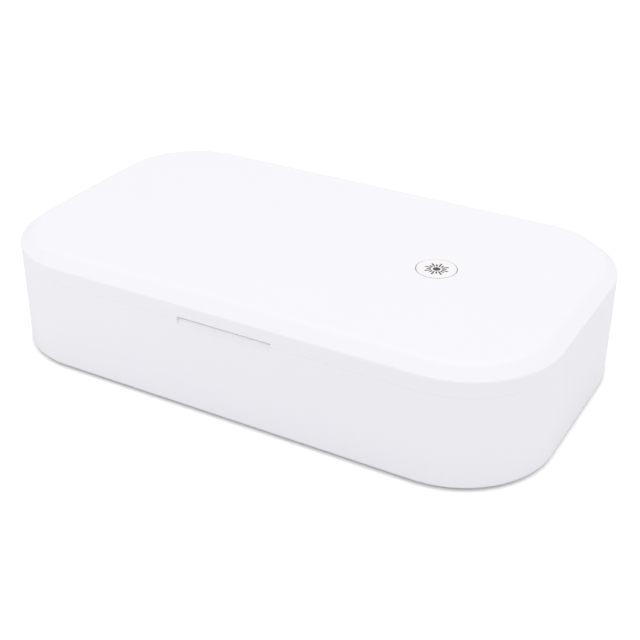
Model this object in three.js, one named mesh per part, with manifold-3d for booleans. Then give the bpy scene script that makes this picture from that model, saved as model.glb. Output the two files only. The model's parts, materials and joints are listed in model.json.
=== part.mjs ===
// A sanitizer box for phones: a rounded two-shell box whose lid swings up on a rear hinge block,
// with a mirrored tray, two rows of ultraviolet lamps, a press button and the boards that drive them.
// Units are millimetres, +Z is up, +X is to the right of the front and -Y is the front.
// The origin is on the surface the feet stand on, under the middle of the box.

import * as THREE from "three";
import { mergeVertices } from "three/addons/utils/BufferGeometryUtils.js";
import Module from "manifold-3d";

const wasm = await Module();
wasm.setup();

// Outline and walls shared by both shells
const boxLength = 222;
const boxWidth = 127;
const cornerRadius = 36.5;
const wall = 2.6;
const cornerCurveSteps = 7;

// Gaps: pieces that seat on each other, the line between lid and base, and the overrun of a cut
const seatGap = 0.3;
const partingGap = 0.1;
const overrun = 3;

// Base shell
const baseDepth = 36.2;
const floorWall = 2.2;
const bottomChamfer = 1.2;
const ledgeDepth = 0.6;

// Feet, and the corner posts with their screws
const footProud = 1.0;
const footRadius = 6;
const footSunk = 1.0;
const cornerPostReach = 28;
const cornerPostRadius = 3.2;
const screwCupWall = 1.5;

// Screws: the large ones hold shells together, the small ones hold boards
const largeScrew = { headRadius: 2.5, headHeight: 1.6, shankRadius: 1.2, length: 12, shortLength: 5 };
const smallScrew = { headRadius: 1.8, headHeight: 0.9, shankRadius: 0.8, length: 3.4 };
const driveShare = { halfWidth: 0.165, reach: 0.6, depth: 0.45 };

// Tray that the phone lies in
const chamberMargin = 13;
const chamberDepth = 22;
const trayWall = 1.5;
const trayLipWidth = 3;
const trayLipThickness = 1.2;
const frameThickness = 1.7;
const ribHeight = 2.5;
const ribWidth = 1.4;
const ribEndSpace = 8;
const ribPlaceShares = [-0.73, -0.36, 0, 0.36, 0.73];

// Seal round the mouth of the tray
const sealWidth = 2;
const sealGrooveDepth = 0.9;
const sealOutset = 1.8;

// Ultraviolet lamps: one strip under the tray and one in the lid
const lampEndSpace = 10;
const lampPlaceShares = [-1, -0.33, 0.33, 1];
const lampRowShare = 0.585;
const lampSide = 3.5;
const lampBodyHeight = 0.8;
const lampLensRadius = 1.4;
const lampLensHeight = 0.5;
const stripEndReach = 10;
const stripWidth = 14;
const boardThickness = 1.0;
const stripScrewInset = 5;
const windowLength = 122;
const windowWidth = 12;
const windowThickness = 1.0;
const windowLedge = 1.5;
const postRadius = 2.6;

// Hinge block of the lid, and the pocket of the base that it turns in
const blockLength = 110;
const barrelRadius = 3.0;
const hingeDrop = 11;
const blockRise = 2.5;
const pocketSideGap = 0.5;
const pocketFrontGap = 0.5;
const pocketFloorGap = 1.0;
const pocketWall = 2.4;
const rearRelief = 0.5;
const rearReliefReach = 1;
const earLength = 6;
const hingePinRadius = 1.75;
const hingePinGap = 0.25;
const hingePinReach = 6.3;
const hingePinEndGap = 0.3;
const bushBoreRadius = 1.1;
const roundSteps = 16;

// Lid shell and its inner liner
const lidSkirt = 6.0;
const lidChamferDrop = 4.3;
const lidChamferInset = 5.4;
const lidTopWall = 2.0;
const linerRise = 0.6;
const linerThickness = 1.0;

// Finger notch in the front edge
const notchLength = 39;
const notchAboveParting = 1.3;
const notchBelowParting = 2.2;
const notchDepth = 1.6;
const notchEndRadius = 1.2;
const notchOverhangShare = 0.85;
const smallCurveSteps = 4;

// Press button and its switch
const buttonX = 52.3;
const buttonRadius = 7.5;
const buttonGap = 0.28;
const buttonProud = 0.15;
const buttonFlange = 1.5;
const buttonFlangeThickness = 0.7;
const buttonStemRadius = 1.2;
const buttonStemLength = 0.3;
const switchSide = 6;
const switchHeight = 1.6;
const plungerRadius = 1.5;
const plungerGap = 0.4;
const plungerHeight = 1.2;
const plungerProud = 0.7;
const switchFloor = 0.3;

// Control board in the lid
const controlBoardLength = 42;
const controlBoardWidth = 28;
const controlBoardShift = 8;
const controlScrewInset = 3.5;

// Main board in the base and what is soldered to it
const mainBoardLength = 70;
const mainBoardWidth = 35;
const mainBoardThickness = 1.6;
const mainBoardRise = 2.6;
const mainBoardRearGap = 1.0;
const mainScrewInset = 4;
const portWidth = 8.9;
const portHeight = 3.2;
const portLength = 7.4;
const portShellWall = 0.35;
const portRecess = 0.5;
const portWallGap = 0.4;
const tongueWidth = 6.6;
const tongueThickness = 0.7;
const tongueLength = 5;
const portEndRadiusShare = 0.45;
const inductor = { side: 7, height: 3.2, chamfer: 1.2, x: -18, fromRear: 22 };
const capacitor = { radius: 3.1, height: 5.2, x: 22, fromRear: 6 };
const driverChip = { side: 6, height: 1.0, x: 6, fromRear: 24 };

// Magnets in the lid, their catch plates in the base, and the sensor that feels the lid
const magnetX = 60;
const magnetInset = 5.9;
const magnetRadius = 2.5;
const magnetThickness = 3;
const catchThickness = 1.2;
const socketWall = 1.0;
const socketHeight = 1.5;
const sensorOut = 9.5;
const sensorSide = 4;
const sensorHeight = 1.5;

// Leads between the boards
const leadRadius = 0.8;
const leadSides = 8;
const leadChannelInset = 9;
const leadChannelRadius = 1.7;
const leadGrooveLength = 6;
const leadSteps = 36;

// Worked out from the sizes above, in the frame of the base: zero at the shell's underside
const halfX = boxLength / 2;
const halfY = boxWidth / 2;
const cornerCentreX = halfX - cornerRadius;
const cornerCentreY = halfY - cornerRadius;
const cornerPostX = cornerCentreX + cornerPostReach * Math.SQRT1_2;
const cornerPostY = cornerCentreY + cornerPostReach * Math.SQRT1_2;
const chamberInset = wall + chamberMargin;
const sealInnerInset = chamberInset - sealOutset;
const sealOuterInset = sealInnerInset - sealWidth;
const lampSpread = windowLength / 2 - lampEndSpace;
const lampRow = (halfY - chamberInset) * lampRowShare;
const stripLength = windowLength + 2 * stripEndReach;
const frameTop = baseDepth;
const frameUnder = frameTop - frameThickness;
const trayFloorTop = frameTop - chamberDepth;
const trayFloorUnder = trayFloorTop - trayWall;
const hingeY = halfY - barrelRadius;
const hingeZ = baseDepth - hingeDrop;
const blockHalf = blockLength / 2;
const leadChannelX = -blockHalf + leadChannelInset;
const pocketHalf = blockHalf + pocketSideGap;
const pocketFrontY = hingeY - barrelRadius - pocketFrontGap;
const pocketFloorZ = hingeZ - barrelRadius - pocketFloorGap;

// Worked out in the frame of the lid: zero at the shell's lower edge
const lidHeight = lidSkirt + lidChamferDrop;
const lidInnerTop = lidHeight - lidTopWall;
const lidHingeZ = -hingeDrop - partingGap;
const lidAboveBase = baseDepth + partingGap;

// Materials
const whiteShell = new THREE.MeshStandardMaterial({ color: 0xf4f4f6, roughness: 0.38, metalness: 0 });
const whiteButton = new THREE.MeshStandardMaterial({ color: 0xf1f0f0, roughness: 0.42, metalness: 0 });
const mirrorLining = new THREE.MeshStandardMaterial({ color: 0xc9ccd0, roughness: 0.22, metalness: 1 });
const greyRubber = new THREE.MeshStandardMaterial({ color: 0xb4b5b8, roughness: 0.85, metalness: 0 });
const clearSilicone = new THREE.MeshStandardMaterial({ color: 0xd9dcdf, roughness: 0.6, metalness: 0 });
const steel = new THREE.MeshStandardMaterial({ color: 0xa6a9ad, roughness: 0.3, metalness: 1 });
const nickel = new THREE.MeshStandardMaterial({ color: 0xc4c5c6, roughness: 0.25, metalness: 1 });
const greenBoard = new THREE.MeshStandardMaterial({ color: 0x1d5b3a, roughness: 0.5, metalness: 0 });
const whiteBoard = new THREE.MeshStandardMaterial({ color: 0xe9e9e4, roughness: 0.5, metalness: 0 });
const lampCeramic = new THREE.MeshStandardMaterial({ color: 0xe8e2cf, roughness: 0.4, metalness: 0 });
const quartz = new THREE.MeshStandardMaterial({ color: 0xe4eef4, roughness: 0.05, metalness: 0 });
const blackPlastic = new THREE.MeshStandardMaterial({ color: 0x1c1c1e, roughness: 0.55, metalness: 0 });
const greyFerrite = new THREE.MeshStandardMaterial({ color: 0x45474a, roughness: 0.7, metalness: 0 });
const aluminiumCan = new THREE.MeshStandardMaterial({ color: 0xb9bcc0, roughness: 0.35, metalness: 1 });
const leadJacket = new THREE.MeshStandardMaterial({ color: 0xdcdcdc, roughness: 0.6, metalness: 0 });

// Closed geometry into a solid that can be joined and cut
function solid(geometry) {
  const bare = geometry.clone();
  bare.deleteAttribute("normal");
  bare.deleteAttribute("uv");
  const merged = mergeVertices(bare, 1e-4);
  return new wasm.Manifold(
    new wasm.Mesh({
      numProp: 3,
      vertProperties: new Float32Array(merged.attributes.position.array),
      triVerts: new Uint32Array(merged.index.array),
    }),
  );
}

function join(...solids) {
  return solids.reduce((whole, piece) => whole.add(piece));
}

function cut(body, ...tools) {
  return tools.reduce((left, tool) => left.subtract(tool), body);
}

// A finished solid as a named mesh, set at its place
function piece(name, body, material, x = 0, y = 0, z = 0) {
  const made = body.getMesh();
  const geometry = new THREE.BufferGeometry();
  geometry.setAttribute("position", new THREE.BufferAttribute(new Float32Array(made.vertProperties), 3));
  geometry.setIndex(new THREE.BufferAttribute(new Uint32Array(made.triVerts), 1));
  geometry.computeVertexNormals();
  const mesh = new THREE.Mesh(geometry, material);
  mesh.name = name;
  mesh.position.set(x, y, z);
  return mesh;
}

// The plan outline of a rounded rectangle
function roundedOutline(halfLength, halfWidth, radius) {
  const x = halfLength - radius;
  const y = halfWidth - radius;
  const outline = new THREE.Shape();
  outline.absarc(x, y, radius, 0, Math.PI / 2);
  outline.absarc(-x, y, radius, Math.PI / 2, Math.PI);
  outline.absarc(-x, -y, radius, Math.PI, 1.5 * Math.PI);
  outline.absarc(x, -y, radius, 1.5 * Math.PI, 2 * Math.PI);
  return outline;
}

// The box's own outline taken in by a distance
function boxOutline(inset) {
  return roundedOutline(halfX - inset, halfY - inset, cornerRadius - inset);
}

function slab(outline, low, high, steps = cornerCurveSteps) {
  const settings = { depth: high - low, bevelEnabled: false, curveSegments: steps };
  return solid(new THREE.ExtrudeGeometry(outline, settings).translate(0, 0, low));
}

// A slab whose edge slopes in at its top or at its bottom
function slopedSlab(outline, low, high, inset, drop, atTop) {
  const settings = {
    depth: high - low,
    bevelThickness: drop,
    bevelSize: inset,
    bevelOffset: -inset,
    bevelSegments: 1,
    curveSegments: cornerCurveSteps,
  };
  const start = atTop ? low - drop : low + drop;
  const body = solid(new THREE.ExtrudeGeometry(outline, settings).translate(0, 0, start));
  const keepLow = low - (atTop ? 0 : overrun);
  const keepHigh = high + (atTop ? overrun : 0);
  return body.intersect(block(-boxLength, boxLength, -boxWidth, boxWidth, keepLow, keepHigh));
}

function block(x0, x1, y0, y1, z0, z1) {
  const box = new THREE.BoxGeometry(x1 - x0, y1 - y0, z1 - z0);
  return solid(box.translate((x0 + x1) / 2, (y0 + y1) / 2, (z0 + z1) / 2));
}

// An upright round bar
function post(x, y, z0, z1, radius, steps = roundSteps) {
  const bar = new THREE.CylinderGeometry(radius, radius, z1 - z0, steps);
  return solid(bar.rotateX(Math.PI / 2).translate(x, y, (z0 + z1) / 2));
}

// A round bar along X
function crossBar(x0, x1, y, z, radius, steps = roundSteps) {
  const bar = new THREE.CylinderGeometry(radius, radius, x1 - x0, steps);
  return solid(bar.rotateZ(Math.PI / 2).translate((x0 + x1) / 2, y, z));
}

// A lead along a smooth curve through its points
function lead(points, steps) {
  const path = new THREE.CatmullRomCurve3(points.map((p) => new THREE.Vector3(...p)), false, "centripetal");
  const section = new THREE.Shape();
  for (let i = 0; i < leadSides; i++) {
    const turn = (2 * Math.PI * i) / leadSides;
    const x = leadRadius * Math.cos(turn);
    const y = leadRadius * Math.sin(turn);
    if (i === 0) section.moveTo(x, y);
    else section.lineTo(x, y);
  }
  section.closePath();
  return solid(new THREE.ExtrudeGeometry(section, { steps, extrudePath: path, bevelEnabled: false }));
}

// A screw whose seat, the flat under its head, is at zero and whose shank points up
function screw(size, length) {
  const head = post(0, 0, -size.headHeight, 0, size.headRadius, roundSteps);
  const shank = post(0, 0, -size.headHeight / 2, length, size.shankRadius, roundSteps / 2);
  const reach = size.headRadius * driveShare.reach;
  const half = size.headRadius * driveShare.halfWidth;
  const depth = size.headHeight * driveShare.depth;
  const low = -size.headHeight - overrun;
  const high = -size.headHeight + depth;
  const slotX = block(-reach, reach, -half, half, low, high);
  const slotY = block(-half, half, -reach, reach, low, high);
  return cut(join(head, shank), slotX, slotY);
}

// The four corners of a rectangle, each with its name
function corners(x, y) {
  return [
    { name: "front_left", x: -x, y: -y },
    { name: "front_right", x, y: -y },
    { name: "rear_left", x: -x, y },
    { name: "rear_right", x, y },
  ];
}

const sides = [
  { name: "left", sign: -1 },
  { name: "right", sign: 1 },
];

// The finger notch as one cutter for both shells: an undercut above, a slope below.
// Zero is the height of the parting line.
function notchCutter() {
  const outerY = -halfY - overrun;
  const innerY = -halfY + notchDepth;
  const slope = new THREE.Shape();
  slope.moveTo(outerY, notchAboveParting);
  slope.lineTo(innerY, notchAboveParting);
  slope.lineTo(innerY, notchAboveParting - notchDepth * notchOverhangShare);
  slope.lineTo(-halfY, -notchBelowParting);
  slope.lineTo(outerY, -notchBelowParting);
  slope.closePath();
  const wedge = new THREE.ExtrudeGeometry(slope, { depth: notchLength, bevelEnabled: false });
  const turned = wedge.applyMatrix4(
    new THREE.Matrix4().makeBasis(new THREE.Vector3(0, 1, 0), new THREE.Vector3(0, 0, 1), new THREE.Vector3(1, 0, 0)),
  );
  const profile = solid(turned.translate(-notchLength / 2, 0, 0));
  const notchHeight = notchAboveParting + notchBelowParting;
  const front = roundedOutline(notchLength / 2, notchHeight / 2, notchEndRadius);
  const face = new THREE.ExtrudeGeometry(front, { depth: notchDepth + 2 * overrun, bevelEnabled: false, curveSegments: smallCurveSteps });
  const faceZ = (notchAboveParting - notchBelowParting) / 2;
  const plate = solid(face.rotateX(Math.PI / 2).translate(0, -halfY + notchDepth + overrun, faceZ));
  return profile.intersect(plate);
}

const notch = notchCutter();

// Heights in the base
const screwSeat = footSunk + seatGap + largeScrew.headHeight + 2 * seatGap;
const screwCupTop = screwSeat + screwCupWall;
const screwClear = largeScrew.headRadius + 2 * seatGap;
const mainBoardUnder = floorWall + mainBoardRise;
const mainBoardTop = mainBoardUnder + mainBoardThickness;
const mainBoardRear = halfY - wall - mainBoardRearGap;
const mainBoardFront = mainBoardRear - mainBoardWidth;
const portMid = mainBoardTop + seatGap + portHeight / 2;
const portMouth = halfY - portRecess;
const lampHeight = lampBodyHeight + lampLensHeight;
const lowerWindowUnder = trayFloorUnder - seatGap - windowThickness;
const lowerStripTop = lowerWindowUnder - seatGap - lampHeight;
const lowerStripUnder = lowerStripTop - boardThickness;
const sealUnder = frameTop - sealGrooveDepth + seatGap;
const sealTop = frameTop + partingGap + linerRise - seatGap;
const pocketEnd = pocketHalf + earLength;
const magnetY = -halfY + wall + magnetInset;

// Heights in the lid
const linerTop = linerRise + linerThickness;
const linerScrewSeat = linerRise + largeScrew.headHeight;
const linerCupTop = linerScrewSeat + 2 * seatGap + linerThickness;
const controlBoardUnder = linerTop + seatGap + smallScrew.headHeight + seatGap;
const controlBoardTop = controlBoardUnder + boardThickness;
const upperWindowTop = linerTop + seatGap + windowThickness;
const upperStripUnder = upperWindowTop + seatGap + lampHeight;
const upperStripTop = upperStripUnder + boardThickness;
const buttonTop = lidHeight + buttonProud;
const buttonFlangeTop = lidInnerTop - seatGap;
const buttonFlangeUnder = buttonFlangeTop - buttonFlangeThickness;
const switchTop = controlBoardTop + switchHeight;
const plungerTop = switchTop + plungerProud;
const controlBoardX = buttonX - controlBoardShift;
const blockTop = blockRise;
const hingeBoreEnd = blockHalf - hingePinReach - hingePinEndGap;

const stripScrewX = stripLength / 2 - stripScrewInset;
const mainScrews = [
  { name: "left", x: -mainBoardLength / 2 + mainScrewInset, y: mainBoardFront + mainScrewInset },
  { name: "right", x: mainBoardLength / 2 - mainScrewInset, y: mainBoardRear - mainScrewInset },
];
const controlScrews = [
  { name: "left", x: controlBoardX - controlBoardLength / 2 + controlScrewInset, y: -controlBoardWidth / 2 + controlScrewInset },
  { name: "right", x: controlBoardX + controlBoardLength / 2 - controlScrewInset, y: controlBoardWidth / 2 - controlScrewInset },
];

// A post with a blind hole for a small screw that comes from above or from below
function boardPost(x, y, low, high, fromAbove) {
  const holeRadius = smallScrew.shankRadius + seatGap;
  const pilot = fromAbove
    ? post(x, y, high - smallScrew.length, high + overrun, holeRadius)
    : post(x, y, low - overrun, low + smallScrew.length - seatGap, holeRadius);
  return { body: post(x, y, low, high, postRadius), pilot };
}

function screwHole(x, y, thickness) {
  return post(x, y, -overrun, thickness + overrun, smallScrew.shankRadius + seatGap);
}

function portOutline(gap) {
  return roundedOutline(portWidth / 2 + gap, portHeight / 2 + gap, portHeight * portEndRadiusShare + gap);
}

// A bar along Y with the given outline, its front face at zero
function barAlongY(outline, length) {
  const bar = new THREE.ExtrudeGeometry(outline, { depth: length, bevelEnabled: false, curveSegments: smallCurveSteps });
  return solid(bar.rotateX(Math.PI / 2));
}

// Base shell: a tub with a ledge for the tray, the hinge pocket between two ears, and screw cups over the feet
function makeBaseShell() {
  const outside = slopedSlab(boxOutline(0), 0, baseDepth, bottomChamfer, bottomChamfer, false);
  const inside = slab(boxOutline(wall), floorWall, baseDepth + overrun);
  const ledgeTop = frameUnder - seatGap;
  const ledge = slab(boxOutline(wall - ledgeDepth), ledgeTop, baseDepth + overrun);
  const massFront = pocketFrontY - pocketWall;
  const hingeMass = block(-pocketEnd, pocketEnd, massFront, halfY - wall / 2, pocketFloorZ - pocketWall, ledgeTop);
  const pocket = block(-pocketHalf, pocketHalf, pocketFrontY, halfY + overrun, pocketFloorZ, baseDepth + overrun);
  const pinBore = crossBar(-pocketEnd - overrun, pocketEnd + overrun, hingeY, hingeZ, hingePinRadius + hingePinGap);
  const leadGroove = crossBar(-pocketEnd - leadGrooveLength, -pocketEnd, hingeY, hingeZ, leadChannelRadius);
  const portHole = barAlongY(portOutline(portWallGap), wall + 2 * overrun).translate([0, halfY + overrun, portMid]);
  const cups = corners(cornerPostX, cornerPostY).map((c) => ({
    body: post(c.x, c.y, floorWall / 2, screwCupTop, screwClear + screwCupWall),
    head: post(c.x, c.y, -overrun, screwSeat, screwClear),
    hole: post(c.x, c.y, 0, screwCupTop + overrun, largeScrew.shankRadius + seatGap),
    foot: post(c.x, c.y, -overrun, footSunk + seatGap, footRadius + seatGap, 2 * roundSteps),
  }));
  const posts = [
    ...sides.map((s) => boardPost(s.sign * stripScrewX, -lampRow, floorWall / 2, lowerStripUnder - seatGap, true)),
    ...mainScrews.map((s) => boardPost(s.x, s.y, floorWall / 2, mainBoardUnder - seatGap, true)),
  ];
  const tub = join(cut(outside, inside), hingeMass, ...cups.map((c) => c.body), ...posts.map((p) => p.body));
  return cut(
    tub, ledge, pocket, pinBore, leadGroove, portHole,
    notch.translate([0, 0, baseDepth + partingGap / 2]),
    ...cups.flatMap((c) => [c.head, c.hole, c.foot]),
    ...posts.map((p) => p.pilot),
  );
}

// A ring that holds a round magnet or plate, blind at one end
function socketRing(x, y, low, high, openBelow) {
  const body = post(x, y, low, high, magnetRadius + seatGap + socketWall);
  const holeLow = openBelow ? low - overrun : high - socketHeight;
  const holeHigh = openBelow ? low + socketHeight : high + overrun;
  return { body, hole: post(x, y, holeLow, holeHigh, magnetRadius + seatGap) };
}

function windowOpening(y, low, high) {
  const halfLength = windowLength / 2 - windowLedge;
  const halfWidth = windowWidth / 2 - windowLedge;
  return block(-halfLength, halfLength, y - halfWidth, y + halfWidth, low, high);
}

// Tray frame: the flat rim that lies on the ledge, with the seal groove and the posts of the corner screws
function makeTrayFrame() {
  const flat = slab(boxOutline(wall - ledgeDepth + seatGap), frameUnder, frameTop);
  const mouth = slab(boxOutline(chamberInset), frameUnder - overrun, frameTop + overrun);
  const posts = corners(cornerPostX, cornerPostY).map((c) => ({
    body: post(c.x, c.y, screwCupTop + seatGap, frameTop - frameThickness / 2, cornerPostRadius),
    pilot: post(c.x, c.y, 0, screwSeat + largeScrew.length, largeScrew.shankRadius + seatGap),
  }));
  const catches = sides.map((s) =>
    socketRing(s.sign * magnetX, magnetY, frameUnder - socketHeight, frameTop - frameThickness / 2, true),
  );
  const grooveOuter = slab(boxOutline(sealOuterInset - seatGap), frameTop - sealGrooveDepth, frameTop + overrun);
  const grooveInner = slab(boxOutline(sealInnerInset + seatGap), frameUnder, frameTop + 2 * overrun);
  const pocketSpace = block(-pocketHalf, pocketHalf, pocketFrontY, halfY, pocketFloorZ, frameTop + overrun);
  return cut(
    join(flat, ...posts.map((p) => p.body), ...catches.map((c) => c.body)),
    mouth, pocketSpace,
    cut(grooveOuter, grooveInner),
    ...posts.map((p) => p.pilot),
    ...catches.map((c) => c.hole),
  );
}

// Tray: the mirrored chamber with its ribs, hung by a narrow lip under the frame
function makeTray() {
  const trayTop = frameUnder - seatGap;
  const lip = slab(boxOutline(chamberInset - trayLipWidth), trayTop - trayLipThickness, trayTop);
  const bowl = slab(boxOutline(chamberInset - trayWall), trayFloorUnder, trayTop);
  const chamber = slab(boxOutline(chamberInset), trayFloorTop, trayTop + overrun);
  const ribHalf = halfY - chamberInset - ribEndSpace;
  const ribs = ribPlaceShares.map((share) => {
    const x = share * (halfX - chamberInset);
    const half = ribWidth / 2;
    return block(x - half, x + half, -ribHalf, ribHalf, trayFloorTop - trayWall / 2, trayFloorTop + ribHeight);
  });
  const aperture = windowOpening(-lampRow, trayFloorUnder - overrun, trayFloorTop + overrun);
  return join(cut(join(lip, bowl), chamber, aperture), ...ribs);
}

function makeSeal() {
  const outer = slab(boxOutline(sealOuterInset), sealUnder, sealTop);
  const inner = slab(boxOutline(sealInnerInset), sealUnder - overrun, sealTop + overrun);
  return cut(outer, inner);
}

// An ultraviolet lamp: a square ceramic body with a low round lens
function makeLamp() {
  const half = lampSide / 2;
  const body = block(-half, half, -half, half, 0, lampBodyHeight);
  return join(body, post(0, 0, lampBodyHeight / 2, lampHeight, lampLensRadius));
}

function makeStrip() {
  const half = stripLength / 2;
  const board = block(-half, half, -stripWidth / 2, stripWidth / 2, 0, boardThickness);
  return cut(board, ...sides.map((s) => screwHole(s.sign * stripScrewX, 0, boardThickness)));
}

function makeWindow() {
  const half = windowLength / 2;
  return block(-half, half, -windowWidth / 2, windowWidth / 2, 0, windowThickness);
}

function makeFoot() {
  const profile = [
    new THREE.Vector2(0, -footProud),
    new THREE.Vector2(footRadius - footProud / 2, -footProud),
    new THREE.Vector2(footRadius, -footProud / 2),
    new THREE.Vector2(footRadius, footSunk),
    new THREE.Vector2(0, footSunk),
  ];
  return solid(new THREE.LatheGeometry(profile, 2 * roundSteps).rotateX(Math.PI / 2));
}

function makeMainBoard() {
  const half = mainBoardLength / 2;
  const board = block(-half, half, mainBoardFront, mainBoardRear, 0, mainBoardThickness);
  return cut(board, ...mainScrews.map((s) => screwHole(s.x, s.y, mainBoardThickness)));
}

// The power socket: a flattened metal tube closed at the back, its mouth at zero
function makePortShell() {
  const mouth = barAlongY(portOutline(-portShellWall), portLength - portShellWall + overrun);
  return cut(barAlongY(portOutline(0), portLength), mouth.translate([0, overrun, 0]));
}

function makePortTongue() {
  const rear = -(portLength - portShellWall - seatGap / 2);
  const half = tongueThickness / 2;
  return block(-tongueWidth / 2, tongueWidth / 2, rear, rear + tongueLength, -half, half);
}

function makeInductor() {
  const half = inductor.side / 2;
  const low = half - inductor.chamfer;
  const outline = new THREE.Shape();
  outline.setFromPoints([
    new THREE.Vector2(half, -low), new THREE.Vector2(half, low), new THREE.Vector2(low, half),
    new THREE.Vector2(-low, half), new THREE.Vector2(-half, low), new THREE.Vector2(-half, -low),
    new THREE.Vector2(-low, -half), new THREE.Vector2(low, -half),
  ]);
  return slab(outline, 0, inductor.height);
}

function makeChip() {
  const half = driverChip.side / 2;
  return block(-half, half, -half, half, 0, driverChip.height);
}

function makeHingePin() {
  return crossBar(blockHalf - hingePinReach, pocketEnd - hingePinEndGap, 0, 0, hingePinRadius);
}

// A hollow pin that lets the lead into the lid
function makeHingeBush() {
  const bush = crossBar(-pocketEnd + hingePinEndGap, -blockHalf + hingePinReach, 0, 0, hingePinRadius);
  return cut(bush, crossBar(-pocketEnd - overrun, -blockHalf + hingePinReach + overrun, 0, 0, bushBoreRadius));
}

// Lid shell: a sloped cover with its hinge block, the button hole, and posts for the liner and boards
function makeLidShell() {
  const outside = slopedSlab(boxOutline(0), 0, lidHeight, lidChamferInset, lidChamferDrop, true);
  const cavity = slopedSlab(boxOutline(wall), -overrun, lidInnerTop, lidChamferInset, lidChamferDrop, true);
  const blockFront = hingeY - barrelRadius;
  const upright = block(-blockHalf, blockHalf, blockFront, halfY, lidHingeZ, blockTop);
  const barrel = crossBar(-blockHalf, blockHalf, hingeY, lidHingeZ, barrelRadius, 2 * roundSteps);
  const boreRadius = hingePinRadius + hingePinGap;
  const rightBore = crossBar(hingeBoreEnd, blockHalf + overrun, hingeY, lidHingeZ, boreRadius);
  const leftBore = crossBar(-blockHalf - overrun, leadChannelX + leadChannelRadius, hingeY, lidHingeZ, boreRadius);
  const leadChannel = post(leadChannelX, hingeY - seatGap, lidHingeZ, blockTop + wall, leadChannelRadius);
  const cornerPosts = corners(cornerPostX, cornerPostY).map((c) => ({
    body: post(c.x, c.y, linerCupTop + seatGap, lidHeight - lidTopWall / 2, cornerPostRadius),
    pilot: post(c.x, c.y, 0, linerScrewSeat + largeScrew.shortLength + seatGap, largeScrew.shankRadius + seatGap),
  }));
  const ceilingPosts = [
    ...sides.map((s) => boardPost(s.sign * stripScrewX, lampRow, upperStripTop + seatGap, lidHeight - lidTopWall / 2, false)),
    ...controlScrews.map((s) => boardPost(s.x, s.y, controlBoardTop + seatGap, lidHeight - lidTopWall / 2, false)),
  ];
  const bodies = [...cornerPosts, ...ceilingPosts].map((p) => p.body);
  const reliefFront = hingeY - rearReliefReach;
  const relief = block(-halfX, halfX, reliefFront, halfY + overrun, -overrun, rearRelief);
  const cover = cut(outside, cavity, relief);
  return cut(
    join(cover, upright, barrel, ...bodies.map((b) => b.intersect(outside))),
    notch.translate([0, 0, -partingGap / 2]),
    post(buttonX, 0, lidInnerTop - overrun / 2, lidHeight + overrun, buttonRadius + buttonGap, 3 * roundSteps),
    rightBore, leftBore, leadChannel,
    ...cornerPosts.map((p) => p.pilot),
    ...ceilingPosts.map((p) => p.pilot),
  );
}

// Lid liner: the mirrored ceiling of the chamber, with screw cups, magnet sockets and the lamp window
function makeLidLiner() {
  const plate = slab(boxOutline(wall + seatGap), linerRise, linerTop);
  const cups = corners(cornerPostX, cornerPostY).map((c) => ({
    body: post(c.x, c.y, linerRise, linerCupTop, screwClear + linerThickness),
    head: post(c.x, c.y, -overrun, linerScrewSeat + seatGap, screwClear - seatGap),
    hole: post(c.x, c.y, 0, linerCupTop + overrun, largeScrew.shankRadius + seatGap),
  }));
  const sockets = sides.map((s) => socketRing(s.sign * magnetX, magnetY, linerRise, linerTop + socketHeight, false));
  const blockSide = blockHalf + seatGap;
  const hingeSpace = block(-blockSide, blockSide, hingeY - barrelRadius - seatGap, halfY, -overrun, linerCupTop + overrun);
  return cut(
    join(plate, ...cups.map((c) => c.body), ...sockets.map((s) => s.body)),
    hingeSpace,
    windowOpening(lampRow, -overrun, linerTop + overrun),
    ...cups.flatMap((c) => [c.head, c.hole]),
    ...sockets.map((s) => s.hole),
  );
}

function makeControlBoard() {
  const half = controlBoardLength / 2;
  const board = block(controlBoardX - half, controlBoardX + half, -controlBoardWidth / 2, controlBoardWidth / 2, 0, boardThickness);
  return cut(board, ...controlScrews.map((s) => screwHole(s.x, s.y, boardThickness)));
}

// The press button: a flush cap, a flange that holds it in the lid and a stem over the switch
function makeButton() {
  const stem = post(0, 0, buttonFlangeUnder - buttonStemLength, buttonFlangeTop, buttonStemRadius);
  const flange = post(0, 0, buttonFlangeUnder, buttonFlangeTop, buttonRadius + buttonFlange, 3 * roundSteps);
  const cap = post(0, 0, buttonFlangeUnder, buttonTop, buttonRadius, 3 * roundSteps);
  return join(stem, flange, cap);
}

function makeSwitchBody() {
  const half = switchSide / 2;
  const well = post(0, 0, switchFloor, switchHeight + overrun, plungerRadius + plungerGap);
  return cut(block(-half, half, -half, half, 0, switchHeight), well);
}

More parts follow.
